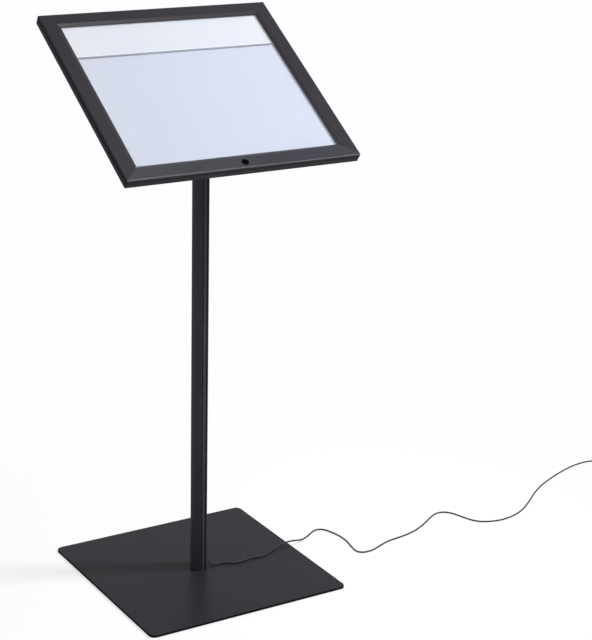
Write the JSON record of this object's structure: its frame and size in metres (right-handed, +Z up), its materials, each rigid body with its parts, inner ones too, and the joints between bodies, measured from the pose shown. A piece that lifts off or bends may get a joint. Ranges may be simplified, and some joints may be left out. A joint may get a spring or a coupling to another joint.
{
  "type": "lectern menu display stand",
  "caption": "Free-standing menu stand: a tilted, edge-lit glazed menu case with a locking door hinged along its upper edge, on a slim oval pole and a square base plate, with a thin lead.",
  "frame": {"origin": "on the floor, under the middle of the base plate", "axes": "+X to the reader's right, +Y away from the reader, +Z up along the pole"},
  "size_m": [1.457, 0.43, 1.0977],
  "materials": {
    "base_steel": "semi-gloss black powder coat",
    "pole_black": "satin black coat",
    "frame_black": "satin black coat",
    "panel_black": "matt black coat",
    "zinc_steel": "bright zinc plate",
    "black_screw": "black oxide",
    "bare_aluminium": "mill finish",
    "black_plastic": "fine matt",
    "white_plastic": "matt white",
    "clear_plastic": "clear polished",
    "pane": "clear polished",
    "paper": "matt print film, lit from behind",
    "pale_grey": "satin",
    "rubber": "matt",
    "led_board": "white solder mask",
    "cord_black": "satin",
    "brass": "nickel plated"
  },
  "bodies": {
    "stand": {"base_plate": "base_steel", "base_pads": "rubber", "base_screws": "zinc_steel", "pole": "pole_black", "pole_cover_strip": "pole_black", "cord_grommet": "rubber", "head_wedge": "pole_black", "wedge_screws": "zinc_steel", "head_plate": "base_steel", "head_plate_screws": "zinc_steel", "case_mount_screws": "black_screw", "press_nuts": "zinc_steel", "back_panel": "panel_black", "back_panel_screws": "black_screw", "case_top_rail": "frame_black", "case_bottom_rail": "frame_black", "case_left_rail": "frame_black", "case_right_rail": "frame_black", "panel_ledges": "frame_black", "case_corner_keys": "zinc_steel", "reflector_sheet": "white_plastic", "light_guide": "clear_plastic", "diffuser_sheet": "white_plastic", "left_led_channel": "bare_aluminium", "right_led_channel": "bare_aluminium", "left_led_strip": "led_board", "right_led_strip": "led_board", "led_wires": "cord_black", "wire_grommet": "rubber", "splice_sleeve": "black_plastic", "pole_lead": "cord_black", "header_card": "paper", "divider_strip": "pale_grey", "menu_sheet": "paper", "hinge_case_leaves": "black_screw", "hinge_pins": "zinc_steel", "hinge_case_screws": "black_screw", "lock_keeper": "zinc_steel", "keeper_rivets": "black_screw", "door_bumpers": "rubber", "cord_lead": "cord_black", "cord_coil": "cord_black", "coil_tie": "black_plastic", "adapter_body": "black_plastic", "adapter_pins": "brass", "adapter_boot": "rubber"},
    "door": {"door_top_rail": "frame_black", "door_bottom_rail": "frame_black", "door_left_rail": "frame_black", "door_right_rail": "frame_black", "window_pane": "pane", "door_corner_keys": "zinc_steel", "hinge_door_leaves": "black_screw", "hinge_door_screws": "black_screw", "lock_barrel": "black_screw", "lock_nut": "zinc_steel"},
    "lock": {"lock_plug": "black_screw", "lock_cam": "zinc_steel", "lock_cam_screw": "zinc_steel"}
  },
  "joints": [
    {"name": "door_hinge", "type": "hinge", "parent": "stand", "child": "door", "pos_m": [0, 0.19757, 1.09047], "axis": [-1, 0, 0], "range_deg": [0, 95]},
    {"name": "lock_turn", "type": "hinge", "parent": "door", "child": "lock", "pos_m": [0, -0.16467, 0.87272], "axis": [0, 0.5383, -0.8427], "range_deg": [0, 90]}
  ]
}
